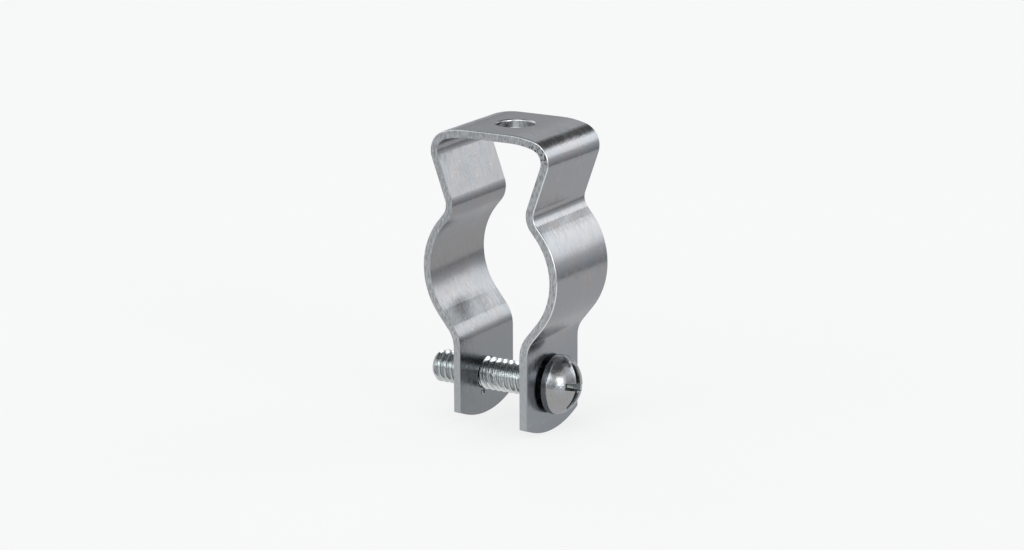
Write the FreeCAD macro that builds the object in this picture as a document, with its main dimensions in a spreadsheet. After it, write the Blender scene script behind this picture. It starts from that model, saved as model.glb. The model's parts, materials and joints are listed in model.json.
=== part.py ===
import FreeCAD, Part
import math
import os
from functools import partial

import Sketcher
from FreeCAD import Placement, Rotation, Vector

# Conduit clamp: a sprung steel strap folded round a conduit, drawn shut by one screw.
# Millimetres. +X points to the screw's head, +Y lies along the conduit, +Z is up.
# The origin is where the hanging rod's axis meets the top face.

SIZES = [
    # Sheet of the strap
    ("sheet", 1.52, "thickness of the steel sheet"),
    ("strap_width", 19.05, "width of the strap, along the conduit"),
    ("edge_roll", 0.28, "radius that the shears leave along the outer edges"),
    # Top of the strap
    ("top_flat", 9.0, "width of the flat in the middle of the top"),
    ("shoulder_radius", 18.0, "radius of the crown from the flat to a corner, outside"),
    ("corner_radius", 2.5, "radius of a top corner, inside"),
    ("arm_slant", 19.6, "degrees that an arm leans in, from upright"),
    # Waist, seat and feet
    ("throat_length", 1.54, "length of the straight between the waist and the seat"),
    ("waist_radius", 2.8, "radius of the waist bend, on the hollow side"),
    ("throat_slant", 39.8, "degrees that the strap leans out below the waist"),
    ("seat_radius", 12.7, "radius of the seat for the conduit"),
    ("seat_depth", 26.65, "depth of the seat's axis below the top face"),
    ("foot_slant", 38.6, "degrees that the strap leans in below the seat"),
    ("foot_radius", 5.0, "radius of the bend into an ear, on the hollow side"),
    # Ears
    ("ear_gap", 12.7, "gap between the ears"),
    ("head_ear_reach", 8.9, "reach of the ear under the screw's head, below the screw's axis"),
    ("thread_ear_reach", 7.6, "reach of the ear that takes the thread, below the screw's axis"),
    ("ear_end_radius", 21.5, "radius of the curved end of an ear"),
    ("burr_radius", 0.6, "radius of the burr beside the threaded hole"),
    ("burr_setback", 0.05, "gap between the threaded hole and its burr"),
    ("burr_sink", 0.2, "depth of the burr's centre inside the ear's face"),
    ("burr_angle", 249.0, "degrees round the hole from +Y to the burr"),
    # Rod hole
    ("rod_hole_diameter", 7.14, "clearance hole for the hanging rod"),
    ("rod_hole_roll", 0.35, "radius that the punch leaves round the rod hole"),
    # Screw
    ("screw_below_seat", 21.75, "depth of the screw's axis below the seat's axis"),
    ("screw_diameter", 6.2, "outside diameter of the screw's thread"),
    ("screw_length", 25.4, "length of the screw under its head"),
    ("thread_clearance", 0.05, "gap all round the screw in the threaded ear"),
    ("shank_clearance", 0.35, "gap all round the screw in the other ear"),
    ("tip_chamfer", 0.75, "depth of the chamfer on the screw's tip"),
    ("head_standoff", 0.63, "gap between the head and its ear"),
    ("head_diameter", 11.2, "diameter of the head"),
    ("head_height", 4.8, "height of the head"),
    ("rim_height", 1.26, "height of the head's upright rim, to where the dome meets it"),
    ("head_edge", 0.4, "radius between the dome and the rim"),
    ("neck_radius", 0.4, "radius under the head"),
    # Drive recess
    ("drive_turn", 14.0, "degrees that the screw is turned past upright"),
    ("slot_width", 1.6, "width of the slot across the head"),
    ("slot_depth", 2.0, "depth of the slot below the top of the dome"),
    ("cross_reach", 4.1, "reach of a cross wing at the top of the dome"),
    ("cross_width", 1.45, "width of a cross wing at the top of the dome"),
    ("cross_depth", 3.0, "depth of the cross below the top of the dome"),
    ("cross_foot_reach", 1.25, "reach of a cross wing at its floor"),
    ("cross_foot_width", 0.95, "width of a cross wing at its floor"),
]

# How far a cutting outline runs past the metal that it cuts
OVERRUN = 2.0

# Half width of the outline that trims an ear, at most this share of its arc's radius
TRIM_SHARE = 0.95

# Places nearer than this are one
SAME_PLACE = 1e-5

# Depth of the screw's axis below the top face, and reach of the longer ear below that axis
SCREW_DROP = "(sizes.seat_depth + sizes.screw_below_seat)"
LONGER_EAR = "max(sizes.head_ear_reach; sizes.thread_ear_reach)"

doc = FreeCAD.newDocument("conduit_clamp")
sheet = doc.addObject("Spreadsheet::Sheet", "sizes")
for row, (alias, value, meaning) in enumerate(SIZES, start=1):
    sheet.set(f"A{row}", meaning)
    sheet.set(f"B{row}", str(value))
    sheet.setAlias(f"B{row}", alias)
doc.recompute()


def size(alias):
    """The value of one driving size."""
    return float(sheet.get(alias))


def screw_drop():
    """The depth of the screw's axis below the top face."""
    return size("seat_depth") + size("screw_below_seat")


def ear_drop(reach_alias):
    """The depth of an ear's lowest point below the top face."""
    return screw_drop() + size(reach_alias)


def blank_drop():
    """The depth of the strap's ends before the ears are trimmed."""
    return max(ear_drop("head_ear_reach"), ear_drop("thread_ear_reach")) + OVERRUN


def new_body(name):
    """An empty sub-part whose label names its file."""
    body = doc.addObject("PartDesign::Body", name)
    body.Label = name
    return body


def plane_of(body, role):
    """One of the sub-part's own origin planes."""
    return next(item for item in body.Origin.OriginFeatures if item.Role == role)


def new_sketch(body, name, role):
    """An empty sketch on one of the sub-part's origin planes."""
    sketch = body.newObject("Sketcher::SketchObject", name)
    sketch.AttachmentSupport = (plane_of(body, role), "")
    sketch.MapMode = "FlatFace"
    return sketch


def dimension(sketch, label, expression, *constraint):
    """A driving dimension in a sketch, tied to the sheet of sizes."""
    index = sketch.addConstraint(Sketcher.Constraint(*constraint))
    sketch.renameConstraint(index, label)
    sketch.setExpression(f"Constraints.{label}", expression)
    return index


def feature(body, kind, name, profile=None, **values):
    """A feature of the sub-part; a text value is an expression on the sizes."""
    made = body.newObject(f"PartDesign::{kind}", name)
    if profile is not None:
        made.Profile = profile
    for key, value in values.items():
        if isinstance(value, str) and value.startswith("="):
            made.setExpression(key, value[1:])
        else:
            setattr(made, key, value)
    body.Tip = made
    return made


def end_at(sketch, index, point):
    """Which end of a line or arc, 1 or 2, lies at the point."""
    return min((1, 2), key=lambda end: sketch.getPoint(index, end).distanceToPoint(point))


def unit(degrees):
    """The unit vector at an angle from the sketch's first axis."""
    return Vector(math.cos(math.radians(degrees)), math.sin(math.radians(degrees)), 0)


# The strap's right half, seen along the conduit: where its outer face starts and ends each bend.

def strap_corners():
    """The ends of the lines and arcs of the outer face, each with its outward normal,
    and the centre of each arc (None for a line), from the middle of the top to the ear."""
    arm_out = unit(-size("arm_slant"))
    arm_up = unit(90 - size("arm_slant"))
    throat_out = unit(size("throat_slant"))
    throat_up = unit(90 + size("throat_slant"))
    foot_out = unit(-size("foot_slant"))
    foot_up = unit(90 - size("foot_slant"))

    seat = Vector(0, -size("seat_depth"), 0)
    seat_outer = size("seat_radius") + size("sheet")

    waist_r = size("waist_radius")
    waist = seat + throat_out * (seat_outer + waist_r) + throat_up * size("throat_length")

    foot_r = size("foot_radius")
    foot_x = size("ear_gap") / 2 + size("sheet") + foot_r
    foot = seat + foot_out * (seat_outer + foot_r)
    foot += foot_up * ((foot_x - foot.x) / foot_up.x)

    # The corner touches the arm's line on one side and the crown's arc on the other.
    crown_r = size("shoulder_radius")
    crown = Vector(size("top_flat") / 2, -crown_r, 0)
    corner_r = size("corner_radius") + size("sheet")
    on_line = waist - arm_out * (waist_r + corner_r)
    along = (crown - on_line).dot(arm_up)
    aside = (crown - on_line).dot(arm_out)
    corner = on_line + arm_up * (along + math.sqrt((crown_r - corner_r) ** 2 - aside ** 2))
    crown_out = (corner - crown).normalize()

    up, right = Vector(0, 1, 0), Vector(1, 0, 0)
    ends = [
        (Vector(0, 0, 0), up),
        (Vector(crown.x, 0, 0), up),
        (crown + crown_out * crown_r, crown_out),
        (corner + arm_out * corner_r, arm_out),
        (waist - arm_out * waist_r, arm_out),
        (waist - throat_out * waist_r, throat_out),
        (seat + throat_out * seat_outer, throat_out),
        (seat + foot_out * seat_outer, foot_out),
        (foot - foot_out * foot_r, foot_out),
        (foot - right * foot_r, right),
        (Vector(foot.x - foot_r, -blank_drop(), 0), right),
    ]
    centres = [None, crown, corner, None, waist, None, seat, None, foot, None]
    return ends, centres


def draw_face(sketch, points, centres):
    """Draw one face of the sheet as lines and arcs that run smoothly into each other."""
    pieces = []
    for start, end, centre in zip(points, points[1:], centres):
        if centre is None:
            # Lines are drawn upward, or away from the middle on the top.
            curve = Part.LineSegment(*sorted((start, end), key=lambda p: (p.y, p.x)))
        else:
            radius = start.distanceToPoint(centre)
            middle = centre + (start + end - centre * 2).normalize() * radius
            curve = Part.Arc(start, middle, end)
        pieces.append(sketch.addGeometry(curve, False))
    for point, first, second in zip(points[1:], pieces, pieces[1:]):
        ends = (first, end_at(sketch, first, point), second, end_at(sketch, second, point))
        sketch.addConstraint(Sketcher.Constraint("Tangent", *ends))
    return pieces


def strap_profile(body):
    """The right half of the strap's section: the outer face by its sizes, and the inner
    face parallel to it, one sheet's thickness inside."""
    sketch = new_sketch(body, "strap_profile", "XZ_Plane")
    ends, centres = strap_corners()
    thick = size("sheet")
    outer_points = [point for point, normal in ends]
    inner_points = [point - normal * thick for point, normal in ends]
    outer = draw_face(sketch, outer_points, centres)
    inner = draw_face(sketch, inner_points, centres)
    top, crown, corner, arm, waist, throat, seat, shin, foot, ear = outer
    middle_cap = sketch.addGeometry(Part.LineSegment(inner_points[0], outer_points[0]), False)
    ear_cap = sketch.addGeometry(Part.LineSegment(inner_points[-1], outer_points[-1]), False)

    add = sketch.addConstraint
    for cap, place in ((middle_cap, 0), (ear_cap, -1)):
        for face, points, cap_end in ((inner, inner_points, 1), (outer, outer_points, 2)):
            line = face[place]
            add(Sketcher.Constraint("Coincident", cap, cap_end, line, end_at(sketch, line, points[place])))
    add(Sketcher.Constraint("Vertical", middle_cap))
    add(Sketcher.Constraint("Horizontal", ear_cap))
    add(Sketcher.Constraint("Coincident", middle_cap, 2, -1, 1))
    for flat in (outer[0], inner[0]):
        add(Sketcher.Constraint("Horizontal", flat))
    for upright in (outer[-1], inner[-1]):
        add(Sketcher.Constraint("Vertical", upright))
    for own, twin, centre in zip(outer, inner, centres):
        if centre is not None:
            add(Sketcher.Constraint("Coincident", own, 3, twin, 3))
    for own, twin in ((arm, inner[3]), (throat, inner[5]), (shin, inner[7])):
        add(Sketcher.Constraint("Parallel", own, twin))
    add(Sketcher.Constraint("PointOnObject", seat, 3, -2))

    tie = partial(dimension, sketch)
    tie("sheet", "sizes.sheet", "DistanceY", middle_cap, 1, middle_cap, 2, thick)
    tie("half_flat", "sizes.top_flat / 2", "DistanceX", top, 1, top, 2, size("top_flat") / 2)
    tie("crown_radius", "sizes.shoulder_radius", "Radius", crown, size("shoulder_radius"))
    tie("corner_radius", "sizes.corner_radius + sizes.sheet", "Radius", corner,
        size("corner_radius") + thick)
    tie("waist_radius", "sizes.waist_radius", "Radius", waist, size("waist_radius"))
    tie("seat_radius", "sizes.seat_radius + sizes.sheet", "Radius", seat,
        size("seat_radius") + thick)
    tie("foot_radius", "sizes.foot_radius", "Radius", foot, size("foot_radius"))
    tie("arm_angle", "(90 - sizes.arm_slant) * 1 deg", "Angle", arm,
        math.radians(90 - size("arm_slant")))
    tie("throat_angle", "(90 + sizes.throat_slant) * 1 deg", "Angle", throat,
        math.radians(90 + size("throat_slant")))
    tie("foot_angle", "(90 - sizes.foot_slant) * 1 deg", "Angle", shin,
        math.radians(90 - size("foot_slant")))
    tie("throat_length", "sizes.throat_length", "Distance", throat, size("throat_length"))
    tie("seat_depth", "sizes.seat_depth", "DistanceY", seat, 3, -1, 1, size("seat_depth"))
    tie("ear_x", "sizes.ear_gap / 2 + sizes.sheet", "DistanceX",
        -1, 1, ear, 1, size("ear_gap") / 2 + thick)
    tie("blank_drop", f"{SCREW_DROP} + {LONGER_EAR} + {OVERRUN}", "DistanceY",
        ear, 1, -1, 1, blank_drop())
    return sketch, outer_points, centres


def outer_edges(shape, points, centres):
    """The names of the edges along the outer face, front and rear."""
    middles = []
    for start, end, centre in zip(points, points[1:], centres):
        middle = (start + end) / 2
        if centre is not None:
            middle = centre + (middle - centre).normalize() * start.distanceToPoint(centre)
        middles.append(middle)
    names = []
    for number, edge in enumerate(shape.Edges, start=1):
        first, last = edge.ParameterRange
        place = edge.valueAt((first + last) / 2)
        along_strap = abs(abs(place.y) - size("strap_width") / 2) < SAME_PLACE
        flat_place = Vector(place.x, place.z, 0)
        if along_strap and any(flat_place.distanceToPoint(m) < SAME_PLACE for m in middles):
            names.append(f"Edge{number}")
    return names


def ear_trim(body, name, reach_alias):
    """The outline that leaves an ear with its curved end: an arc and a box below it."""
    sketch = new_sketch(body, name, "YZ_Plane")
    drop = ear_drop(reach_alias)
    radius = size("ear_end_radius")
    centre = Vector(0, radius - drop, 0)
    half = min(size("strap_width") / 2 + OVERRUN, radius * TRIM_SHARE)
    rise = math.sqrt(radius ** 2 - half ** 2)
    left = Vector(-half, centre.y - rise, 0)
    right = Vector(half, centre.y - rise, 0)
    floor = -blank_drop() - OVERRUN
    arc = sketch.addGeometry(Part.Arc(left, Vector(0, -drop, 0), right), False)
    sides = []
    corners = [right, Vector(half, floor, 0), Vector(-half, floor, 0), left]
    for start, end in zip(corners, corners[1:]):
        sides.append(sketch.addGeometry(Part.LineSegment(start, end), False))
    add = sketch.addConstraint
    add(Sketcher.Constraint("Coincident", arc, end_at(sketch, arc, right), sides[0], 1))
    add(Sketcher.Constraint("Coincident", sides[0], 2, sides[1], 1))
    add(Sketcher.Constraint("Coincident", sides[1], 2, sides[2], 1))
    add(Sketcher.Constraint("Coincident", sides[2], 2, arc, end_at(sketch, arc, left)))
    add(Sketcher.Constraint("Vertical", sides[0]))
    add(Sketcher.Constraint("Vertical", sides[2]))
    add(Sketcher.Constraint("PointOnObject", arc, 3, -2))
    dimension(sketch, "end_radius", "sizes.ear_end_radius", "Radius", arc, radius)
    dimension(sketch, "centre_drop",
              f"{SCREW_DROP} + sizes.{reach_alias} - sizes.ear_end_radius",
              "DistanceY", arc, 3, -1, 1, drop - radius)
    dimension(sketch, "half_width",
              f"min(sizes.strap_width / 2 + {OVERRUN}; sizes.ear_end_radius * {TRIM_SHARE})",
              "DistanceX", -1, 1, sides[1], 1, half)
    dimension(sketch, "floor",
              f"{SCREW_DROP} + {LONGER_EAR} + {2 * OVERRUN}",
              "DistanceY", sides[1], 1, -1, 1, -floor)
    add(Sketcher.Constraint("Symmetric", sides[1], 1, sides[1], 2, -2))
    return sketch


def round_hole(body, name, role, drop, radius_expression, radius):
    """A sketch with one circle on the vertical axis of its plane."""
    sketch = new_sketch(body, name, role)
    centre = Vector(0, -drop, 0)
    circle = sketch.addGeometry(Part.Circle(centre, Vector(0, 0, 1), radius), False)
    if drop:
        sketch.addConstraint(Sketcher.Constraint("PointOnObject", circle, 3, -2))
        dimension(sketch, "drop", SCREW_DROP, "DistanceY", circle, 3, -1, 1, drop)
    else:
        sketch.addConstraint(Sketcher.Constraint("Coincident", circle, 3, -1, 1))
    dimension(sketch, "radius", radius_expression, "Radius", circle, radius)
    return sketch


def build_strap():
    """The strap: one folded sheet with the rod hole, two ears and their screw holes."""
    body = new_body("hanger_strap")
    profile, points, centres = strap_profile(body)
    half = feature(body, "Pad", "half_strap", profile, SideType="Symmetric",
                   Length="=sizes.strap_width")
    doc.recompute()
    rolled = feature(body, "Fillet", "rolled_edges", Radius="=sizes.edge_roll",
                     Base=(half, outer_edges(half.Shape, points, centres)))
    doc.recompute()
    feature(body, "Mirrored", "whole_strap", Originals=[half, rolled],
            MirrorPlane=(plane_of(body, "YZ_Plane"), [""]))
    doc.recompute()

    head_side = ear_trim(body, "head_ear_end", "head_ear_reach")
    feature(body, "Pocket", "head_ear_trim", head_side, Type="ThroughAll", Reversed=True)
    thread_side = ear_trim(body, "thread_ear_end", "thread_ear_reach")
    feature(body, "Pocket", "thread_ear_trim", thread_side, Type="ThroughAll")

    rod = round_hole(body, "rod_hole_circle", "XY_Plane", 0,
                     "sizes.rod_hole_diameter / 2", size("rod_hole_diameter") / 2)
    feature(body, "Pocket", "rod_hole", rod, Length="=2 * sizes.sheet")

    drop = screw_drop()
    screw_r = size("screw_diameter") / 2
    shank = round_hole(body, "shank_hole_circle", "YZ_Plane", drop,
                       "sizes.screw_diameter / 2 + sizes.shank_clearance",
                       screw_r + size("shank_clearance"))
    feature(body, "Pocket", "shank_hole", shank, Type="ThroughAll", Reversed=True)
    thread = round_hole(body, "thread_hole_circle", "YZ_Plane", drop,
                        "sizes.screw_diameter / 2 + sizes.thread_clearance",
                        screw_r + size("thread_clearance"))
    thread_hole = feature(body, "Pocket", "thread_hole", thread, Type="ThroughAll")
    doc.recompute()

    rim = [f"Edge{n}" for n, edge in enumerate(thread_hole.Shape.Edges, start=1)
           if isinstance(edge.Curve, Part.Circle)
           and abs(edge.Curve.Radius - size("rod_hole_diameter") / 2) < SAME_PLACE
           and edge.Curve.Center.Length < SAME_PLACE]
    feature(body, "Fillet", "rod_hole_rim", Radius="=sizes.rod_hole_roll",
            Base=(thread_hole, rim))

    # The burr that the tap pushed up beside the threaded hole, on the ear's inner face.
    burr = feature(body, "AdditiveSphere", "thread_burr", Radius="=sizes.burr_radius")
    burr.AttachmentSupport = (plane_of(body, "YZ_Plane"), "")
    burr.MapMode = "FlatFace"
    reach = ("(sizes.screw_diameter / 2 + sizes.thread_clearance"
             " + sizes.burr_setback + sizes.burr_radius)")
    turn = "sizes.burr_angle * 1 deg"
    burr.setExpression("AttachmentOffset.Base.x", f"{reach} * cos({turn})")
    burr.setExpression("AttachmentOffset.Base.y", f"{reach} * sin({turn}) - {SCREW_DROP}")
    burr.setExpression("AttachmentOffset.Base.z", "-sizes.ear_gap / 2 - sizes.burr_sink")
    return body


def screw_profile(body):
    """Half of the screw's section, from the middle of its tip to the top of its dome.
    The bearing face under the head is at zero, and the head points along +X."""
    sketch = new_sketch(body, "screw_profile", "XY_Plane")
    length = size("screw_length")
    shank_r = size("screw_diameter") / 2
    chamfer = size("tip_chamfer")
    head_r = size("head_diameter") / 2
    neck = size("neck_radius")
    edge = size("head_edge")
    dome_rise = size("head_height") - size("rim_height")
    dome_r = (head_r ** 2 + dome_rise ** 2) / (2 * dome_rise)
    dome = Vector(size("head_height") - dome_r, 0, 0)
    edge_centre = Vector(dome.x + math.sqrt((dome_r - edge) ** 2 - (head_r - edge) ** 2),
                         head_r - edge, 0)
    neck_centre = Vector(-neck, shank_r + neck, 0)
    meet = dome + (edge_centre - dome).normalize() * dome_r
    diagonal = math.sqrt(0.5)

    tip_middle = Vector(-length, 0, 0)
    tip_edge = Vector(-length, shank_r - chamfer, 0)
    shank_start = Vector(chamfer - length, shank_r, 0)
    shank_end = Vector(-neck, shank_r, 0)
    neck_end = Vector(0, shank_r + neck, 0)
    rim_start = Vector(0, head_r, 0)
    rim_end = Vector(edge_centre.x, head_r, 0)
    peak = Vector(size("head_height"), 0, 0)

    def line(start, end):
        return sketch.addGeometry(Part.LineSegment(start, end), False)

    def arc(start, mid, end):
        return sketch.addGeometry(Part.Arc(start, mid, end), False)

    axis = line(tip_middle, peak)
    tip = line(tip_middle, tip_edge)
    cone = line(tip_edge, shank_start)
    shank = line(shank_start, shank_end)
    fillet = arc(shank_end, neck_centre + Vector(diagonal, -diagonal, 0) * neck, neck_end)
    bearing = line(neck_end, rim_start)
    rim = line(rim_start, rim_end)
    outward = (meet + rim_end - edge_centre * 2).normalize()
    shoulder = arc(rim_end, edge_centre + outward * edge, meet)
    half_way = (meet + peak - dome * 2).normalize()
    crown = arc(meet, dome + half_way * dome_r, peak)
    corner = sketch.addGeometry(Part.Point(Vector(size("rim_height"), head_r, 0)), True)

    add = sketch.addConstraint
    add(Sketcher.Constraint("Coincident", axis, 1, tip, 1))
    add(Sketcher.Constraint("Coincident", tip, 2, cone, 1))
    add(Sketcher.Constraint("Coincident", cone, 2, shank, 1))
    add(Sketcher.Constraint("Tangent", shank, 2, fillet, end_at(sketch, fillet, shank_end)))
    add(Sketcher.Constraint("Tangent", fillet, end_at(sketch, fillet, neck_end), bearing, 1))
    add(Sketcher.Constraint("Coincident", bearing, 2, rim, 1))
    add(Sketcher.Constraint("Tangent", rim, 2, shoulder, end_at(sketch, shoulder, rim_end)))
    add(Sketcher.Constraint("Tangent", shoulder, end_at(sketch, shoulder, meet),
                            crown, end_at(sketch, crown, meet)))
    add(Sketcher.Constraint("Coincident", crown, end_at(sketch, crown, peak), axis, 2))
    add(Sketcher.Constraint("Horizontal", axis))
    add(Sketcher.Constraint("PointOnObject", axis, 1, -1))
    add(Sketcher.Constraint("PointOnObject", crown, 3, -1))
    add(Sketcher.Constraint("Vertical", tip))
    add(Sketcher.Constraint("Horizontal", shank))
    add(Sketcher.Constraint("Vertical", bearing))
    add(Sketcher.Constraint("Horizontal", rim))
    add(Sketcher.Constraint("PointOnObject", rim, 1, -2))
    add(Sketcher.Constraint("PointOnObject", corner, 1, rim))
    add(Sketcher.Constraint("PointOnObject", corner, 1, crown))

    tie = partial(dimension, sketch)
    tie("length", "sizes.screw_length", "DistanceX", tip, 1, -1, 1, length)
    tie("shank_radius", "sizes.screw_diameter / 2", "DistanceY", -1, 1, shank, 1, shank_r)
    tie("chamfer_length", "sizes.tip_chamfer", "DistanceX", cone, 1, cone, 2, chamfer)
    tie("chamfer_depth", "sizes.tip_chamfer", "DistanceY", cone, 1, cone, 2, chamfer)
    tie("neck_radius", "sizes.neck_radius", "Radius", fillet, neck)
    tie("head_radius", "sizes.head_diameter / 2", "DistanceY", -1, 1, rim, 1, head_r)
    tie("head_edge", "sizes.head_edge", "Radius", shoulder, edge)
    tie("rim_height", "sizes.rim_height", "DistanceX", -1, 1, corner, 1, size("rim_height"))
    tie("head_height", "sizes.head_height", "DistanceX", -1, 1, axis, 2, size("head_height"))
    return sketch


def raised_sketch(body, name, height_expression):
    """An empty sketch square to the screw's axis, at a height above the bearing face."""
    sketch = new_sketch(body, name, "YZ_Plane")
    sketch.setExpression("AttachmentOffset.Base.z", height_expression)
    return sketch


def slot_outline(body):
    """A rectangle right across the head, as wide as the slot."""
    sketch = raised_sketch(body, "slot_outline", "sizes.head_height")
    half_width = size("slot_width") / 2
    half_reach = size("head_diameter") / 2 + OVERRUN
    corners = [Vector(-half_width, -half_reach, 0), Vector(half_width, -half_reach, 0),
               Vector(half_width, half_reach, 0), Vector(-half_width, half_reach, 0)]
    sides = [sketch.addGeometry(Part.LineSegment(start, end), False)
             for start, end in zip(corners, corners[1:] + corners[:1])]
    add = sketch.addConstraint
    for first, second in zip(sides, sides[1:] + sides[:1]):
        add(Sketcher.Constraint("Coincident", first, 2, second, 1))
    for flat in (sides[0], sides[2]):
        add(Sketcher.Constraint("Horizontal", flat))
    for upright in (sides[1], sides[3]):
        add(Sketcher.Constraint("Vertical", upright))
    add(Sketcher.Constraint("Symmetric", sides[0], 1, sides[1], 2, -1, 1))
    dimension(sketch, "width", "sizes.slot_width", "DistanceX", sides[0], 1, sides[0], 2,
              size("slot_width"))
    dimension(sketch, "reach", f"sizes.head_diameter + {2 * OVERRUN}", "DistanceY",
              sides[1], 1, sides[1], 2, 2 * half_reach)
    return sketch


def cross_outline(body, name, height_expression, reach_alias, width_alias):
    """A cross of four equal wings; its twelve sides are tied by equal lengths."""
    sketch = raised_sketch(body, name, height_expression)
    reach = size(reach_alias)
    half = size(width_alias) / 2
    wing = [Vector(half, half, 0), Vector(reach, half, 0), Vector(reach, -half, 0)]
    corners = []
    for quarter in range(4):
        turn = Rotation(Vector(0, 0, 1), -90 * quarter)
        corners += [turn.multVec(corner) for corner in wing]
    sides = [sketch.addGeometry(Part.LineSegment(start, end), False)
             for start, end in zip(corners, corners[1:] + corners[:1])]
    add = sketch.addConstraint
    for first, second in zip(sides, sides[1:] + sides[:1]):
        add(Sketcher.Constraint("Coincident", first, 2, second, 1))
    for number, side in enumerate(sides):
        # Ends of the wings stand across them: every third side, starting with the second.
        upright = (number // 3 + number % 3) % 2 == 1
        add(Sketcher.Constraint("Vertical" if upright else "Horizontal", side))
    ends = sides[1::3]
    flanks = sides[0::3] + sides[2::3]
    for other in ends[1:]:
        add(Sketcher.Constraint("Equal", ends[0], other))
    for other in flanks[1:5]:
        add(Sketcher.Constraint("Equal", flanks[0], other))
    add(Sketcher.Constraint("Symmetric", sides[0], 1, sides[6], 1, -1, 1))
    dimension(sketch, "width", f"sizes.{width_alias}", "DistanceY", sides[1], 2, sides[1], 1,
              2 * half)
    dimension(sketch, "reach", f"sizes.{reach_alias}", "DistanceX", -1, 1, sides[1], 1, reach)
    return sketch


def build_screw():
    """The screw: turned blank, slot, and cross recess that narrows to its floor."""
    body = new_body("clamp_screw")
    blank = screw_profile(body)
    feature(body, "Revolution", "turned_blank", blank, ReferenceAxis=(blank, ["H_Axis"]))
    feature(body, "Pocket", "slot", slot_outline(body), Length="=sizes.slot_depth")
    mouth = cross_outline(body, "cross_mouth", "sizes.head_height", "cross_reach", "cross_width")
    floor = cross_outline(body, "cross_floor", "sizes.head_height - sizes.cross_depth",
                          "cross_foot_reach", "cross_foot_width")
    feature(body, "SubtractiveLoft", "cross_recess", mouth, Sections=[floor], Ruled=True)
    body.Placement = Placement(Vector(0, 0, 0), Rotation(Vector(-1, 0, 0), size("drive_turn")))
    body.setExpression("Placement.Base.x", "sizes.ear_gap / 2 + sizes.sheet + sizes.head_standoff")
    body.setExpression("Placement.Base.z", f"-{SCREW_DROP}")
    return body


bodies = [build_strap(), build_screw()]
doc.recompute()

faults = [item.Name for item in doc.Objects if {"Invalid", "Error"} & set(item.State)]
for body in bodies:
    if body.Shape.isNull() or not body.Shape.isValid() or len(body.Shape.Solids) != 1:
        faults.append(body.Label)
if faults:
    raise RuntimeError("not built: " + ", ".join(faults))

os.makedirs("parts", exist_ok=True)
for body in bodies:
    body.Shape.exportStep(f"parts/{body.Label}.step")
    box = body.Shape.BoundBox
    print(body.Label, "volume", round(body.Shape.Volume, 2),
          "x", round(box.XMin, 3), round(box.XMax, 3),
          "y", round(box.YMin, 3), round(box.YMax, 3),
          "z", round(box.ZMin, 3), round(box.ZMax, 3))
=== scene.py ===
import json
import math

import bmesh
import bpy
from mathutils import Matrix, Vector

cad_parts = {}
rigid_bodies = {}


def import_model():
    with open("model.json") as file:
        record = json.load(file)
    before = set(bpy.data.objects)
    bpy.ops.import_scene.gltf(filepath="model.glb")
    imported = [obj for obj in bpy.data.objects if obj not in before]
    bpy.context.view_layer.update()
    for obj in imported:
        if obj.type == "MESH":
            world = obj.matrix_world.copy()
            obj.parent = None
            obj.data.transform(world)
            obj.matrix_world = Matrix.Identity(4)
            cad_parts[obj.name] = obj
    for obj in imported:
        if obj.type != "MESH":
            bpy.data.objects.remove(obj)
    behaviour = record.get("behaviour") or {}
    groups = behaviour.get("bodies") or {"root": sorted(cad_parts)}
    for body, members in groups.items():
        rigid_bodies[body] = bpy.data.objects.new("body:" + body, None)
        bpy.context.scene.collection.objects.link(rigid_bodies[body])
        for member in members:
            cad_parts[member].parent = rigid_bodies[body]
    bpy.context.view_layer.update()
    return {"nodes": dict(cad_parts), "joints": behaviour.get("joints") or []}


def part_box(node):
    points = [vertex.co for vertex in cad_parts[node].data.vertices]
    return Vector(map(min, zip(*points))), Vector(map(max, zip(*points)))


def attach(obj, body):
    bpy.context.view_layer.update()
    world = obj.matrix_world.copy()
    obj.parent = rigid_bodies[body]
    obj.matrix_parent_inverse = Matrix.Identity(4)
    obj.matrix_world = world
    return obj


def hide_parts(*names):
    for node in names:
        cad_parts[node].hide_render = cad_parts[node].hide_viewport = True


for old in list(bpy.data.objects):
    bpy.data.objects.remove(old)
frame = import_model()
SCENE = bpy.context.scene
SCENE.view_settings.view_transform = "Standard"
MM = 0.001
FULL_TURN = 2 * math.pi
QUARTER_TURN = math.pi / 2
DEGREES = 180 / math.pi

# The view of the photograph: where it looks, from which side and how far off
LOOK_AT = Vector((3.02, -6.44, -26.81)) * MM
LOOK_AZIMUTH = math.radians(30.849)
LOOK_ELEVATION = math.radians(14.794)
LOOK_ROLL = math.radians(-0.218)
LOOK_DISTANCE = 556.25 * MM
LENS = 107.12
SENSOR = 36.0
NEAREST_SEEN = 0.01

# The ground, in metres
FLOOR_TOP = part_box("hanger_strap")[0].z
FLOOR_SIZE = 60.0
FLOOR_WHITE = 0.75
FLOOR_GREY = (0.88, 0.88, 0.88, 1)
FLOOR_ROUGHNESS = 0.8
WHITE = (1, 1, 1, 1)

# The dark ring on the ground that the metal mirrors, darkest near its inner rim
PALE_RADIUS = 0.15
DARKEST_RADIUS = 0.17
RING_RADIUS = 5.0
RING_LIFT = 0.0005
RING_STEPS = 96
RING_GREY = (0.42, 0.43, 0.45, 1)
RING_DARKEST, RING_FAR = 1.0, 2.2

# The lamp overhead
FILL_POWER = 3.5
FILL_SIZE = 1.6
FILL_PLACE = (0.1, -0.2, 1.5)

# The studio's walls, each as angles above the horizon and the strength at either angle
WALL = (38.0, 52.0), (0.9, 0.2)
SKYLINE = (-4.0, 16.0), (0.45, 1.0)
CEILING = (70.0, 85.0), (0.0, 0.6)
STUDIO_LEVEL = 0.82
STUDIO_TINT = (0.96, 0.985, 1, 1)

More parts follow.
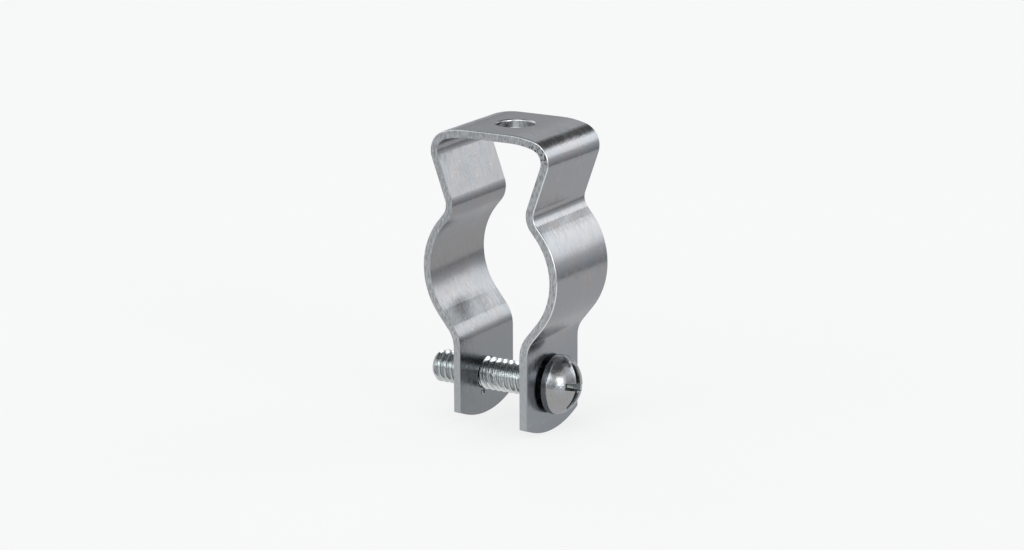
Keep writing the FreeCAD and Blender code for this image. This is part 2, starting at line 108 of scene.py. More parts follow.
# Soft boxes, in degrees: middle as a compass angle from +Y to +X, half width, low, high, softness
# at the sides, below and above. Each comes with its strength.
SOFT_BOXES = [
    ((0.0, 180.0, 18.0, 38.0, 4.0, 4.0, 4.0), 0.35),
    ((28.0, 18.0, 3.0, 26.0, 5.0, 8.0, 4.0), 2.0),
    ((208.0, 18.0, 3.0, 26.0, 5.0, 8.0, 4.0), 2.0),
    ((110.0, 12.0, 0.0, 28.0, 5.0, 5.0, 5.0), 4.0),
    ((290.0, 12.0, 0.0, 28.0, 5.0, 5.0, 5.0), 0.5),
    ((172.0, 30.0, 22.0, 56.0, 6.0, 6.0, 6.0), 1.9),
]
DARK_GAP = (12.0, 26.0, 27.0, 50.0, 6.0, 4.0, 5.0)
GAP_SHARE = 0.13

# Zinc plate: its own grey and the tints that its passivation leaves, with painted highlights on the
# thread's crests and the strap's rolled rims, and painted shade in the thread's roots, the recess and the
# strap's inside
BLUE_TINT = (0.284, 0.296, 0.31, 1)
WARM_TINT = (0.306, 0.296, 0.3, 1)
EAR_TINT = (0.252, 0.277, 0.3, 1)
# Dull zinc for streaks and grain, also used as painted shade on the strap's inner faces
DULL_ZINC_AND_SHADE = (0.19, 0.19, 0.195, 1)
# Bright zinc for scratches, also used as a painted highlight on the rolled rims
BRIGHT_ZINC_AND_HIGHLIGHT = (0.82, 0.84, 0.84, 1)
DOME_LIGHT = (0.362, 0.376, 0.396, 1)
DOME_WARM = (0.355, 0.35, 0.352, 1)
# Painted highlight on the thread's crests and painted shade in its roots; the root colour also darkens the
# far tip
THREAD_CREST_HIGHLIGHT = (0.74, 0.76, 0.76, 1)
THREAD_ROOT_SHADE = (0.44, 0.47, 0.47, 1)
# Painted shade in the head's slot and cross
RECESS_SHADE = (0.10, 0.112, 0.108, 1)

# How much of its glare the plate keeps at a grazing angle
GRAZING = (0.77, 0.77, 0.78, 1)

# Sheared edges of the strap
SHEARED = (0.47, 0.485, 0.495, 1)
SHEARED_DARK = (0.26, 0.265, 0.275, 1)
SHEARED_EAR = (0.37, 0.385, 0.4, 1)
DARK_PIT = (0.05, 0.05, 0.05, 1)

# Places on the strap, in millimetres
EAR_END_TOP = -52.5
EAR_END_SOFT = 0.1
EAR_FADE = (-46.0, -38.0)
# Where the painted highlight on the rims fades towards the ears
RIM_FADE = (-44.0, -36.0)
# Where the painted shade on the inner faces fades in
INSIDE_SHADE_FADE = (-3.0, -1.0)
CORNER_PITS = (10.8, -9.6, -2.4), 1.4, 2.2
BENDS = [((12.5, 0.0, -4.5), 3.0, 9.0), ((-12.5, 0.0, -4.5), 3.0, 9.0)]
DENT_PLACE = (-12.0, 3.0, -37.0), 4.0, 7.0

# Noises of the strap, in cycles a millimetre along X, Y and Z
TINT_CLOUDS = (0.11, 0.16, 0.13)
FINE_STREAKS = (0.9, 3.2, 0.9)
LENGTHWISE_LINES = (0.35, 0.6, 0.22)
CROSSWISE_LINES = (0.5, 0.18, 0.6)
LINE_BREAKS = (0.23, 0.31, 0.27)
EDGE_GRAIN = (3.0, 2.0, 0.9)
PIT_GRAIN = (1.9, 1.9, 1.9)
HAZE = (0.6, 1.8, 0.6)
WAVES = (0.07, 0.09, 0.07)
DENTS = (0.15, 0.13, 0.15)
ROLLING = (0.12, 2.4, 0.12)
PEEL = (1.1, 1.1, 1.1)
STRETCH = (3.4, 0.9, 3.4)

# Heights of the strap's relief, in millimetres
WAVE_HEIGHT = 0.2
DENT_HEIGHT = 0.2
ROLLING_HEIGHT = 0.0022
PEEL_HEIGHT = 0.012
STRETCH_HEIGHT = 0.02
TORN_HEIGHT = 0.035

# Shares and roughness of the strap's plate
STREAK_SHARE = 0.07
# How much painted shade the inner faces get
INSIDE_SHADE_SHARE = 0.35
EAR_SHARE = 0.8
# How much painted highlight the rolled rims get on the ears and elsewhere
EAR_RIM_HIGHLIGHT_SHARE, RIM_HIGHLIGHT_SHARE = 0.12, 0.7
LENGTHWISE_MARKS = 0.005, 0.2
CROSSWISE_MARKS = 0.004, 0.14
STRAP_ROUGHNESS = (0.15, 0.27)
MARK_ROUGHNESS = 0.2
EDGE_ROUGHNESS = 0.22

# Noises, roughness and relief of the screw's plate
DOME_CLOUDS = (0.35, 0.35, 0.35)
DOME_GRAIN = (4.0, 4.0, 4.0)
DOME_GRAIN_SHARE = 0.4
SCREW_HAZE = (1.5, 1.5, 1.5)
SCREW_ROUGHNESS = (0.13, 0.26)
RECESS_ROUGHNESS = 0.08
SCREW_PITS = (2.2, 2.2, 2.2), 0.035
SCREW_WAVES = (0.5, 0.5, 0.5), 0.06
# Where the thread darkens towards the far tip, and how much
TIP_FADE = (-12.0, -10.5)
TIP_DARKENING = 0.55

# The clamp's screw, in millimetres along its own axis from the bearing face, head towards +X
PITCH = 1.27
COLUMNS = 144
screw_low, screw_high = (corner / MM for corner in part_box("clamp_screw"))
SCREW_PLACE = Vector(frame["joints"][0]["pos_m"]) / MM
TIP = screw_low.x - SCREW_PLACE.x
HEAD_RADIUS = screw_high.y
THREAD_RADIUS = 3.1
THREAD_DEPTH = 0.68
TIP_CHAMFER = 0.75
NECK_RADIUS = 0.4
HEAD_HEIGHT = 4.8
RIM_HEIGHT = 1.26
HEAD_EDGE = 0.4
BEARING_EDGE = 0.15
DRIVE_TURN = math.radians(14.0)
SLOT_WIDTH, SLOT_DEPTH = 1.6, 2.0
CROSS_MOUTH = (4.1, 1.45)
CROSS_FLOOR = (1.25, 0.95)
CROSS_DEPTH = 3.0
DOME_RISE = HEAD_HEIGHT - RIM_HEIGHT
DOME_RADIUS = (HEAD_RADIUS ** 2 + DOME_RISE ** 2) / (2 * DOME_RISE)
DOME_X = HEAD_HEIGHT - DOME_RADIUS

# The thread's side, in turns from its crest: where the crest ends, where the root begins and how
# much the flank bows; then where the rows of points lie in half a turn, closer at crest and root
CREST_END, ROOT_START, FLANK_BOW = 0.045, 0.40, 0.035
HALF_TURN_ROWS = [0.0, 0.035, 0.07, 0.12, 0.2, 0.28, 0.35, 0.41, 0.46]
TURNS_BEFORE_TIP, SPARE_TURNS = 1.5, 3

# Fineness of the head's outline, how far its cutters reach out, and the softness of its edges
NECK_STEPS, BEARING_STEPS, EDGE_STEPS, DOME_STEPS = 6, 3, 8, 33
CUTTER_RISE = 1
SOFT_EDGE = 0.09
SOFT_EDGE_STEPS = 2
SOFT_EDGE_ANGLE = math.radians(38)
SHARP_ANGLE = math.radians(42)

# Points nearer than these, in millimetres, are one
SAME_THREAD_POINT = 0.0005
SAME_PLANE = 0.001
SAME_NECK_POINT = 0.01


def link(obj):
    SCENE.collection.objects.link(obj)
    return obj


def add_camera():
    """The photograph's camera."""
    lens = bpy.data.cameras.new("camera")
    lens.lens = LENS
    lens.sensor_width = SENSOR
    lens.clip_start = NEAREST_SEEN
    camera = link(bpy.data.objects.new("camera", lens))
    level = math.cos(LOOK_ELEVATION)
    back = Vector((math.sin(LOOK_AZIMUTH) * level, -math.cos(LOOK_AZIMUTH) * level,
                   math.sin(LOOK_ELEVATION)))
    turn = back.to_track_quat("Z", "Y").to_matrix().to_4x4()
    roll = Matrix.Rotation(LOOK_ROLL, 4, "Z")
    camera.matrix_world = Matrix.Translation(LOOK_AT + back * LOOK_DISTANCE) @ turn @ roll
    SCENE.camera = camera


class Nodes:
    """A short way to write a node tree."""

    def __init__(self, tree):
        self.tree = tree
        tree.nodes.clear()

    def add(self, kind, inputs=(), **settings):
        node = self.tree.nodes.new(kind)
        for name, value in settings.items():
            setattr(node, name, value)
        for name, value in dict(inputs).items():
            self.put(node.inputs[name], value)
        return node

    def put(self, socket, value):
        if isinstance(value, bpy.types.NodeSocket):
            self.tree.links.new(value, socket)
        else:
            socket.default_value = value

    def math(self, operation, *values, clamp=False):
        node = self.add("ShaderNodeMath", enumerate(values), operation=operation, use_clamp=clamp)
        return node.outputs[0]

    def smooth(self, value, low, high, first=0.0, last=1.0):
        """From first to last as value goes from low to high, with soft ends."""
        inputs = {"Value": value, "From Min": low, "From Max": high, "To Min": first, "To Max": last}
        node = self.add("ShaderNodeMapRange", inputs, interpolation_type="SMOOTHSTEP")
        return node.outputs["Result"]

    def mix(self, share, first, second):
        """A colour between two."""
        node = self.add("ShaderNodeMix", data_type="RGBA")
        self.put(node.inputs["Factor"], share)
        self.put(node.inputs[6], first)
        self.put(node.inputs[7], second)
        return node.outputs[2]

    def parts(self, vector):
        split = self.add("ShaderNodeSeparateXYZ", {"Vector": vector})
        return split.outputs["X"], split.outputs["Y"], split.outputs["Z"]

    def length(self, first, second):
        """The length of a line from its two parts at right angles."""
        squares = [self.math("MULTIPLY", part, part) for part in (first, second)]
        return self.math("SQRT", self.math("ADD", *squares))


class Studio(Nodes):
    """The strength of the light from each direction."""

    def __init__(self, tree):
        super().__init__(tree)
        x, y, z = self.parts(self.add("ShaderNodeTexCoord").outputs["Generated"])
        self.up = self.math("MULTIPLY", self.math("ARCSINE", z), DEGREES)
        self.side = self.math("MULTIPLY", self.math("ARCTAN2", x, y), DEGREES)

    def height(self, angles, strengths):
        return self.smooth(self.up, *angles, *strengths)

    def window(self, middle, half_width, low, high, soft_side, soft_low, soft_high):
        """1 inside a box of directions, with soft edges."""
        turned = self.math("WRAP", self.math("SUBTRACT", self.side, middle), 180.0, -180.0)
        off = self.math("ABSOLUTE", turned)
        across = self.smooth(off, half_width - soft_side, half_width + soft_side, 1.0, 0.0)
        above = self.smooth(self.up, low - soft_low, low + soft_low)
        below = self.smooth(self.up, high - soft_high, high + soft_high, 1.0, 0.0)
        return self.math("MULTIPLY", across, self.math("MULTIPLY", above, below))


def add_world():
    """The studio that the metal mirrors: soft boxes round the object, a dark gap and a dim ceiling."""
    world = bpy.data.worlds.new("studio")
    SCENE.world = world
    world.use_nodes = True
    n = Studio(world.node_tree)
    room = n.math("MULTIPLY", n.height(*WALL), n.height(*SKYLINE))
    room = n.math("ADD", room, n.height(*CEILING))
    for box, strength in SOFT_BOXES:
        room = n.math("MULTIPLY_ADD", n.window(*box), strength, room)
    room = n.math("MULTIPLY", room, n.smooth(n.window(*DARK_GAP), 0.0, 1.0, 1.0, GAP_SHARE))
    room = n.math("MULTIPLY", room, STUDIO_LEVEL)
    lit = n.add("ShaderNodeBackground", {"Color": STUDIO_TINT, "Strength": room})
    n.put(n.add("ShaderNodeOutputWorld").inputs["Surface"], lit.outputs[0])


def add_fill():
    """A broad soft lamp overhead that lights the floor and isn't mirrored in the metal."""
    lamp = bpy.data.lights.new("fill", "AREA")
    lamp.shape = "DISK"
    lamp.size = FILL_SIZE
    lamp.energy = FILL_POWER
    fill = link(bpy.data.objects.new("fill", lamp))
    fill.location = FILL_PLACE
    fill.visible_glossy = False
    fill.visible_camera = False


def add_floor():
    """A pale floor, whitened where the camera or the metal sees it."""
    mesh = bpy.data.meshes.new("floor")
    half = FLOOR_SIZE / 2
    corners = [(x, y, FLOOR_TOP) for x, y in ((-half, -half), (half, -half), (half, half), (-half, half))]
    mesh.from_pydata(corners, [], [(0, 1, 2, 3)])
    floor = link(bpy.data.objects.new("floor", mesh))
    material = bpy.data.materials.new("floor")
    material.use_nodes = True
    n = Nodes(material.node_tree)
    shine = n.add("ShaderNodeBsdfPrincipled", {"Base Color": FLOOR_GREY, "Roughness": FLOOR_ROUGHNESS,
                                               "Specular IOR Level": 0.0})
    rays = n.add("ShaderNodeLightPath").outputs
    mirrored = n.math("MAXIMUM", rays["Is Glossy Ray"], rays["Is Transmission Ray"])
    seen = n.math("MAXIMUM", rays["Is Camera Ray"], mirrored)
    share = n.math("MULTIPLY", seen, FLOOR_WHITE)
    glow = n.add("ShaderNodeEmission", {"Color": WHITE, "Strength": 1.0})
    blend = n.add("ShaderNodeMixShader", {0: share, 1: shine.outputs[0], 2: glow.outputs[0]})
    n.put(n.add("ShaderNodeOutputMaterial").inputs["Surface"], blend.outputs[0])
    mesh.materials.append(material)


def ring_material():
    """A grey that is darkest near the ring's inner rim."""
    material = bpy.data.materials.new("dark_surround")
    material.use_nodes = True
    n = Nodes(material.node_tree)
    x, y, _ = n.parts(n.add("ShaderNodeNewGeometry").outputs["Position"])
    near = n.math("DIVIDE", DARKEST_RADIUS, n.length(x, y))
    fade = {"Value": near, "From Min": 0.0, "From Max": 1.0, "To Min": RING_FAR, "To Max": RING_DARKEST}
    strength = n.add("ShaderNodeMapRange", fade).outputs["Result"]
    glow = n.add("ShaderNodeEmission", {"Color": RING_GREY, "Strength": strength})
    n.put(n.add("ShaderNodeOutputMaterial").inputs["Surface"], glow.outputs[0])
    return material


def add_dark_surround():
    """A dark ring round the pale floor that only the metal sees."""
    bm = bmesh.new()
    rings = []
    for radius in (PALE_RADIUS, RING_RADIUS):
        ring = []
        for step in range(RING_STEPS):
            angle = step / RING_STEPS * FULL_TURN
            place = (radius * math.cos(angle), radius * math.sin(angle), FLOOR_TOP + RING_LIFT)
            ring.append(bm.verts.new(place))
        rings.append(ring)
    for face in ring_faces(*rings):
        bm.faces.new(face)
    mesh = bpy.data.meshes.new("dark_surround")
    bm.to_mesh(mesh)
    bm.free()
    mesh.materials.append(ring_material())
    dark = link(bpy.data.objects.new("dark_surround", mesh))
    dark.visible_camera = False
    dark.visible_diffuse = False
    dark.visible_shadow = False


class Plate(Nodes):
    """A zinc plated surface, laid out in millimetres on the object's own coordinates."""

    def __init__(self, name):
        self.material = bpy.data.materials.new(name)
        self.material.use_nodes = True
        super().__init__(self.material.node_tree)
        place = self.add("ShaderNodeTexCoord").outputs["Object"]
        self.place = self.scaled(place, (1 / MM, 1 / MM, 1 / MM))
        self.x, self.y, self.z = self.parts(self.place)
        normal = self.add("ShaderNodeNewGeometry").outputs["True Normal"]
        self.face_x, self.face_y, _ = self.parts(normal)
        self.out = self.add("ShaderNodeOutputMaterial")

    def scaled(self, vector, scale):
        node = self.add("ShaderNodeVectorMath", operation="MULTIPLY")
        self.put(node.inputs[0], vector)
        self.put(node.inputs[1], scale)
        return node.outputs[0]

    def noise(self, stretch, detail=2.0, roughness=0.5):
        """Noise whose grain is 1 / stretch millimetres in each direction."""
        inputs = {"Vector": self.scaled(self.place, stretch), "Scale": 1.0, "Detail": detail,
                  "Roughness": roughness}
        return self.add("ShaderNodeTexNoise", inputs).outputs[0]

    def distance(self, centre):
        away = self.add("ShaderNodeVectorMath", operation="DISTANCE")
        self.put(away.inputs[0], self.place)
        self.put(away.inputs[1], centre)
        return away.outputs["Value"]

    def ball(self, centre, radius, soft):
        """1 within a distance of a place, 0 beyond a soft margin."""
        return self.smooth(self.distance(centre), radius, radius + soft, 1.0, 0.0)

    def sheared_face(self):
        """1 on the sheet's long edges and the ends of its ears."""
        long_edge = self.smooth(self.math("ABSOLUTE", self.face_y), 0.8, 0.97)
        below = self.smooth(self.z, EAR_END_TOP - EAR_END_SOFT, EAR_END_TOP, 1.0, 0.0)
        upright = self.smooth(self.math("ABSOLUTE", self.face_x), 0.3, 0.5, 1.0, 0.0)
        return self.math("MAXIMUM", long_edge, self.math("MULTIPLY", below, upright))

    def rolled_rim_highlight(self):
        """The share of painted highlight on the rolled outer edges, less on the ears."""
        aside = self.math("ABSOLUTE", self.face_y)
        rim = self.math("MULTIPLY", self.smooth(aside, 0.15, 0.4), self.smooth(aside, 0.88, 0.97, 1.0, 0.0))
        return self.math("MULTIPLY", rim, self.smooth(self.z, *RIM_FADE, EAR_RIM_HIGHLIGHT_SHARE, RIM_HIGHLIGHT_SHARE))

    def hairlines(self, stretch, width, amount):
        """Sparse thin lines along the level of a noise, broken up by another noise."""
        level = self.math("ABSOLUTE", self.math("SUBTRACT", self.noise(stretch, 1.0), 0.5))
        line = self.smooth(level, 0.0, width, 1.0, 0.0)
        broken = self.smooth(self.noise(LINE_BREAKS, 2.0), 0.52, 0.62)
        return self.math("MULTIPLY", self.math("MULTIPLY", line, broken), amount)

    def raised(self, heights):
        """The normal of a surface raised by each (height in millimetres, value)."""
        normal = None
        for height, value in heights:
            inputs = {"Height": value, "Distance": height * MM, "Strength": 1.0}
            bump = self.add("ShaderNodeBump", inputs)
            if normal is not None:
                self.put(bump.inputs["Normal"], normal)
            normal = bump.outputs[0]
        return normal

    def finish(self, colour, roughness, normal):
        look = {"Base Color": colour, "Metallic": 1.0, "Roughness": roughness, "Normal": normal,
                "Specular Tint": GRAZING}
        shine = self.add("ShaderNodeBsdfPrincipled", look)
        self.put(self.out.inputs["Surface"], shine.outputs[0])
        return self.material


def strap_colour(p, marks, edge, grain):
    """Clouded plate with bluer ears, painted shade on the inside and fine streaks; torn metal on the edges
    and a painted highlight on the rolled rims.
    """
    tint = p.mix(p.smooth(p.noise(TINT_CLOUDS, 3.0), 0.4, 0.6), BLUE_TINT, WARM_TINT)
    ear = p.smooth(p.z, *EAR_FADE, EAR_SHARE, 0.0)
    tint = p.mix(ear, tint, EAR_TINT)
    # Painted shade on the faces that look into the strap
    inside_shade = p.smooth(p.math("MULTIPLY", p.x, p.face_x), *INSIDE_SHADE_FADE, INSIDE_SHADE_SHARE, 0.0)
    tint = p.mix(inside_shade, tint, DULL_ZINC_AND_SHADE)
    fine = p.noise(FINE_STREAKS, 3.0, 0.6)
    tint = p.mix(p.smooth(fine, 0.25, 0.8, 0.0, STREAK_SHARE), tint, DULL_ZINC_AND_SHADE)
    face = p.mix(marks, tint, BRIGHT_ZINC_AND_HIGHLIGHT)

    torn = p.mix(p.smooth(grain, 0.35, 0.62), SHEARED_DARK, SHEARED)
    colour = p.mix(edge, face, p.mix(ear, torn, SHEARED_EAR))
    pits = p.math("MULTIPLY", p.smooth(p.noise(PIT_GRAIN, 2.0), 0.52, 0.6), edge)
    colour = p.mix(p.math("MULTIPLY", pits, p.ball(*CORNER_PITS)), colour, DARK_PIT)
    # Painted highlight along the rolled outer rims
    return p.mix(p.rolled_rim_highlight(), colour, BRIGHT_ZINC_AND_HIGHLIGHT)


def strap_roughness(p, marks, edge):
    rough = p.smooth(p.noise(HAZE, 3.0), 0.3, 0.75, *STRAP_ROUGHNESS)
    rough = p.math("ADD", rough, p.math("MULTIPLY", marks, MARK_ROUGHNESS))
    return p.math("ADD", rough, p.math("MULTIPLY", edge, EDGE_ROUGHNESS), clamp=True)


def strap_relief(p, edge, grain):
    """Waves and a dent, rolling lines, a fine peel, stretch marks at the bends, torn edges."""
    flat = p.math("SUBTRACT", 1.0, edge)
    bend = p.math("ADD", *(p.ball(*place) for place in BENDS))
    rolled = p.math("MULTIPLY", p.noise(ROLLING, 2.0), flat)
    peel = p.math("MULTIPLY", p.noise(PEEL, 3.0), flat)
    stretch = p.math("MULTIPLY", p.noise(STRETCH, 2.0), p.math("MULTIPLY", bend, flat))
    dent = p.math("MULTIPLY", p.noise(DENTS, 0.0), p.ball(*DENT_PLACE))
    torn = p.math("MULTIPLY", grain, edge)
    return p.raised([(WAVE_HEIGHT, p.noise(WAVES, 1.0)), (DENT_HEIGHT, dent), (ROLLING_HEIGHT, rolled),
                     (PEEL_HEIGHT, peel), (STRETCH_HEIGHT, stretch), (TORN_HEIGHT, torn)])


def strap_zinc():
    """The strap's plate, with rolling lines, bend marks and faint handling scratches; its sheared
    edges are grainy inside a rim with a painted highlight, and its left foot is a little dented."""
    p = Plate("strap_zinc")
    edge = p.sheared_face()
    grain = p.noise(EDGE_GRAIN, 4.0, 0.7)
    marks = p.math("MAXIMUM", p.hairlines(LENGTHWISE_LINES, *LENGTHWISE_MARKS),
                   p.hairlines(CROSSWISE_LINES, *CROSSWISE_MARKS))
    return p.finish(strap_colour(p, marks, edge, grain), strap_roughness(p, marks, edge),
                    strap_relief(p, edge, grain))


def thread_colour(p):
    """Painted highlight at the crests and painted shade in the roots; darker towards the far tip."""
    radius = p.length(p.y, p.math("ADD", p.z, SCREW_PLACE.z * -1))
    # crest is the share of the painted highlight, the rest is painted root shade
    crest = p.smooth(radius, THREAD_RADIUS - THREAD_DEPTH, THREAD_RADIUS - 0.05)
    colour = p.mix(crest, THREAD_ROOT_SHADE, THREAD_CREST_HIGHLIGHT)
    # The far tip darkens towards the painted root shade colour
    return p.mix(p.smooth(p.x, *TIP_FADE, TIP_DARKENING, 0.0), colour, THREAD_ROOT_SHADE)


def sunk_in_dome(p):
    """1 in the head's slot and cross, which lie below the ball of its dome."""
    head_start = SCREW_PLACE.x + RIM_HEIGHT
    head = p.smooth(p.x, head_start + 0.2, head_start + 0.4)
    away = p.distance(tuple(SCREW_PLACE + Vector((DOME_X, 0, 0))))
    return p.math("MULTIPLY", p.smooth(away, DOME_RADIUS - 0.5, DOME_RADIUS - 0.12, 1.0, 0.0), head)


def screw_zinc():
    """The screw's plate: bright on the dome, a painted highlight on the thread's crests and painted shade
    in its roots and recess.
    """
    p = Plate("screw_zinc")
    dome = p.mix(p.smooth(p.noise(DOME_CLOUDS, 3.0), 0.38, 0.62), DOME_LIGHT, DOME_WARM)
    fine = p.noise(DOME_GRAIN, 3.0, 0.6)
    dome = p.mix(p.smooth(fine, 0.3, 0.8, 0.0, DOME_GRAIN_SHARE), dome, DULL_ZINC_AND_SHADE)
    sunk = sunk_in_dome(p)
    shank = p.smooth(p.x, SCREW_PLACE.x - 0.5, SCREW_PLACE.x - 0.2, 1.0, 0.0)
    # The slot and cross get a painted shade colour
    colour = p.mix(shank, p.mix(sunk, dome, RECESS_SHADE), thread_colour(p))
    rough = p.smooth(p.noise(SCREW_HAZE, 3.0), 0.3, 0.75, *SCREW_ROUGHNESS)
    rough = p.math("ADD", rough, p.math("MULTIPLY", sunk, RECESS_ROUGHNESS))
    (pit_grain, pit_height), (wave_grain, wave_height) = SCREW_PITS, SCREW_WAVES
    normal = p.raised([(pit_height, p.noise(pit_grain, 3.0)), (wave_height, p.noise(wave_grain, 1.0))])
    return p.finish(colour, rough, normal)


def ring_faces(lower, upper):
    count = len(lower)
    return [(lower[i], lower[(i + 1) % count], upper[(i + 1) % count], upper[i]) for i in range(count)]


def thread_fall(turns):
    """How far a thread's side has fallen from its crest, 0 to 1, so many turns from the crest."""
    away = abs((turns + 0.5) % 1.0 - 0.5)
    share = min(max((away - CREST_END) / (ROOT_START - CREST_END), 0.0), 1.0)
    return share - FLANK_BOW * math.sin(FULL_TURN * share)


def thread_point(place, share):
    """A point on the thread: its row's place along the axis, and its share of a turn round it."""
    along = place + PITCH * share
    x = min(max(along, TIP), -NECK_RADIUS)
    if x == along:
        fall = thread_fall((place - TIP) / PITCH)
    else:
        fall = thread_fall((x - PITCH * share - TIP) / PITCH)
    radius = THREAD_RADIUS - THREAD_DEPTH * fall
    radius = min(radius, THREAD_RADIUS - TIP_CHAMFER + (x - TIP))
    runout = (x + NECK_RADIUS + PITCH) / PITCH
    radius = max(radius, THREAD_RADIUS - THREAD_DEPTH * min(1.0, 1.0 - max(runout, 0.0)))
    angle = share * FULL_TURN
    return x, radius * math.cos(angle), radius * math.sin(angle)


def threaded_shank(bm):
    """The shank from the middle of its tip to the neck ring, with a right-handed thread."""
    rows = HALF_TURN_ROWS + [0.5] + [1 - place for place in reversed(HALF_TURN_ROWS[1:])]
    turns = int((-NECK_RADIUS - TIP) / PITCH) + SPARE_TURNS
    start = TIP - PITCH * TURNS_BEFORE_TIP
    places = [start + PITCH * (turn + row) for turn in range(turns) for row in rows]
    shares = [column / COLUMNS for column in range(COLUMNS)]
    grid = [[bm.verts.new(thread_point(place, share)) for share in shares] for place in places]
    for number in range(len(grid) - 1):
        for column in range(COLUMNS):
            after = (column + 1) % COLUMNS
            step = len(rows) if after == 0 else 0
            if number + 1 + step < len(grid):
                bm.faces.new((grid[number][column], grid[number + 1][column],
                              grid[number + 1 + step][after], grid[number + step][after]))
    bmesh.ops.remove_doubles(bm, verts=bm.verts, dist=SAME_THREAD_POINT)
    bmesh.ops.dissolve_degenerate(bm, edges=bm.edges, dist=SAME_THREAD_POINT)
    open_edges = [edge for edge in bm.edges if edge.is_boundary and edge.verts[0].co.x < TIP + 0.1]
    bmesh.ops.holes_fill(bm, edges=open_edges)


def head_profile():
    """The head's outline from the neck to the top of the dome, as (x, radius)."""
    edge_rise = math.sqrt((DOME_RADIUS - HEAD_EDGE) ** 2 - (HEAD_RADIUS - HEAD_EDGE) ** 2)
    edge_x = DOME_X + edge_rise
    meet = math.atan2(HEAD_RADIUS - HEAD_EDGE, edge_x - DOME_X)
    points = []
    for step in range(NECK_STEPS + 1):
        angle = QUARTER_TURN * step / NECK_STEPS
        points.append((-NECK_RADIUS * (1 - math.sin(angle)),
                       THREAD_RADIUS + NECK_RADIUS * (1 - math.cos(angle))))
    for step in range(BEARING_STEPS + 1):
        angle = QUARTER_TURN * step / BEARING_STEPS
        points.append((BEARING_EDGE * (1 - math.cos(angle)),
                       HEAD_RADIUS - BEARING_EDGE * (1 - math.sin(angle))))
    for step in range(EDGE_STEPS + 1):
        angle = QUARTER_TURN + (meet - QUARTER_TURN) * step / EDGE_STEPS
        points.append((edge_x + HEAD_EDGE * math.cos(angle),
                       HEAD_RADIUS - HEAD_EDGE + HEAD_EDGE * math.sin(angle)))
    for step in range(1, DOME_STEPS):
        angle = meet * (1 - step / DOME_STEPS)
        points.append((DOME_X + DOME_RADIUS * math.cos(angle), DOME_RADIUS * math.sin(angle)))
    return points


def turned_mesh(bm, points):
    """A closed turned body: each point's ring, with a flat face on the first and a point at the last."""
    rings = []
    for x, radius in points:
        angles = [column / COLUMNS * FULL_TURN for column in range(COLUMNS)]
        rings.append([bm.verts.new((x, radius * math.cos(a), radius * math.sin(a))) for a in angles])
    for lower, upper in zip(rings, rings[1:]):
        for face in ring_faces(lower, upper):
            bm.faces.new(face)
    bm.faces.new(rings[0])
    top = bm.verts.new((HEAD_HEIGHT, 0, 0))
    for i in range(COLUMNS):
        bm.faces.new((rings[-1][i], rings[-1][(i + 1) % COLUMNS], top))
    bmesh.ops.recalc_face_normals(bm, faces=bm.faces)


def cross_points(reach, width, x):
    half = width / 2
    wing = [(half, half), (reach, half), (reach, -half)]
    corners = []
    for quarter in range(4):
        cos, sin = math.cos(-QUARTER_TURN * quarter), math.sin(-QUARTER_TURN * quarter)
        corners += [(x, y * cos - z * sin, y * sin + z * cos) for y, z in wing]
    return corners


def drive_cutters():
    """What is pressed out of the head: a slot right across it and a cross that narrows to its floor."""
    top = HEAD_HEIGHT + CUTTER_RISE
    slot = bmesh.new()
    bmesh.ops.create_cube(slot, size=1.0)
    for vert in slot.verts:
        vert.co.x = HEAD_HEIGHT - SLOT_DEPTH if vert.co.x < 0 else top
        vert.co.y *= SLOT_WIDTH
        vert.co.z *= HEAD_RADIUS * 3
    cross = bmesh.new()
    spread, flare = ((mouth - floor) / CROSS_DEPTH for mouth, floor in zip(CROSS_MOUTH, CROSS_FLOOR))
    low = [cross.verts.new(p) for p in cross_points(*CROSS_FLOOR, HEAD_HEIGHT - CROSS_DEPTH)]
    high = [cross.verts.new(p) for p in cross_points(CROSS_MOUTH[0] + spread, CROSS_MOUTH[1] + flare, top)]
    for face in ring_faces(low, high):
        cross.faces.new(face)
    cross.faces.new(low)
    cross.faces.new(high)
    bmesh.ops.recalc_face_normals(cross, faces=cross.faces)
    return [slot, cross]


def temporary(name, bm):
    mesh = bpy.data.meshes.new(name)
    bm.to_mesh(mesh)
    bm.free()
    return link(bpy.data.objects.new(name, mesh))


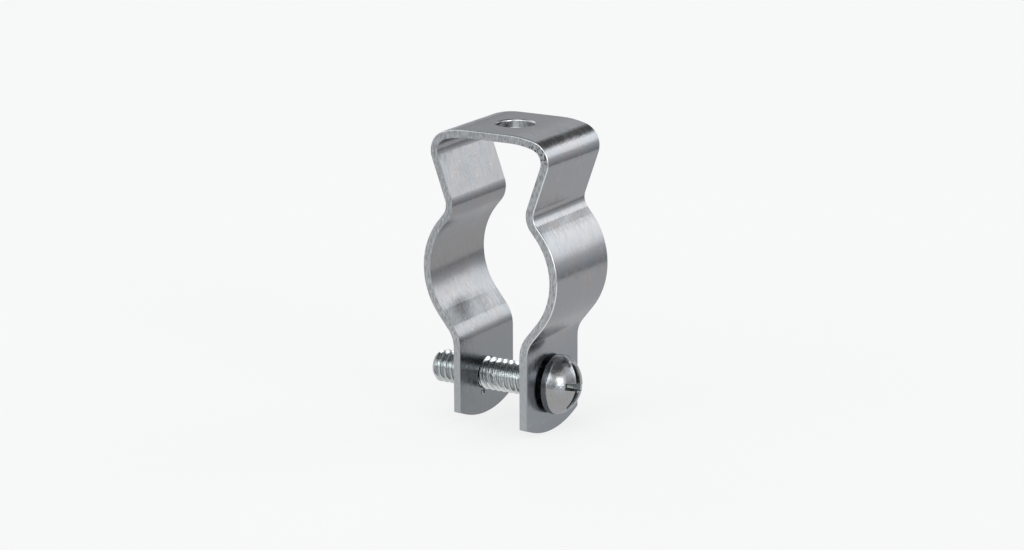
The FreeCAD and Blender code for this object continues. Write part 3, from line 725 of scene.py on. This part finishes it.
def cut_head():
    """The head's mesh, with its drive pressed out and its edges a little softened."""
    blank = bmesh.new()
    turned_mesh(blank, head_profile())
    head = temporary("head_blank", blank)
    cutters = [temporary("cutter", cutter) for cutter in drive_cutters()]
    for cutter in cutters:
        cut = head.modifiers.new("cut", "BOOLEAN")
        cut.operation = "DIFFERENCE"
        cut.solver = "EXACT"
        cut.object = cutter
    soft = head.modifiers.new("soft", "BEVEL")
    soft.width = SOFT_EDGE
    soft.segments = SOFT_EDGE_STEPS
    soft.limit_method = "ANGLE"
    soft.angle_limit = SOFT_EDGE_ANGLE
    bpy.context.view_layer.update()
    mesh = bpy.data.meshes.new_from_object(head.evaluated_get(bpy.context.evaluated_depsgraph_get()))
    for extra in [head] + cutters:
        bpy.data.objects.remove(extra)
    return mesh


def shank_mesh():
    bm = bmesh.new()
    threaded_shank(bm)
    mesh = bpy.data.meshes.new("shank")
    bm.to_mesh(mesh)
    bm.free()
    return mesh


def whole_screw():
    """Head and shank joined at the neck, in the screw's place."""
    whole = bmesh.new()
    whole.from_mesh(cut_head())
    neck_faces = [f for f in whole.faces if all(v.co.x < -NECK_RADIUS + SAME_PLANE for v in f.verts)]
    bmesh.ops.delete(whole, geom=neck_faces, context="FACES_ONLY")
    whole.from_mesh(shank_mesh())
    near_neck = [v for v in whole.verts if abs(v.co.x + NECK_RADIUS) < SAME_PLANE]
    bmesh.ops.remove_doubles(whole, verts=near_neck, dist=SAME_NECK_POINT)
    bmesh.ops.recalc_face_normals(whole, faces=whole.faces)
    for face in whole.faces:
        face.smooth = True
    place = Matrix.Translation(SCREW_PLACE) @ Matrix.Rotation(-DRIVE_TURN, 4, "X")
    whole.transform(Matrix.Scale(MM, 4) @ place)
    return whole


def add_screw():
    """The screw with its real thread, in place of the plain one."""
    whole = whole_screw()
    mesh = bpy.data.meshes.new("machine_screw")
    whole.to_mesh(mesh)
    whole.free()
    mesh.set_sharp_from_angle(angle=SHARP_ANGLE)
    screw = link(bpy.data.objects.new("machine_screw", mesh))
    mesh.materials.append(screw_zinc())
    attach(screw, "screw")
    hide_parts("clamp_screw")


def plate_strap():
    """Give the solid strap its zinc."""
    zinc = strap_zinc()
    for slot in frame["nodes"]["hanger_strap"].material_slots:
        slot.material = zinc


add_camera()
add_world()
add_fill()
add_floor()
add_dark_surround()
add_screw()
plate_strap()
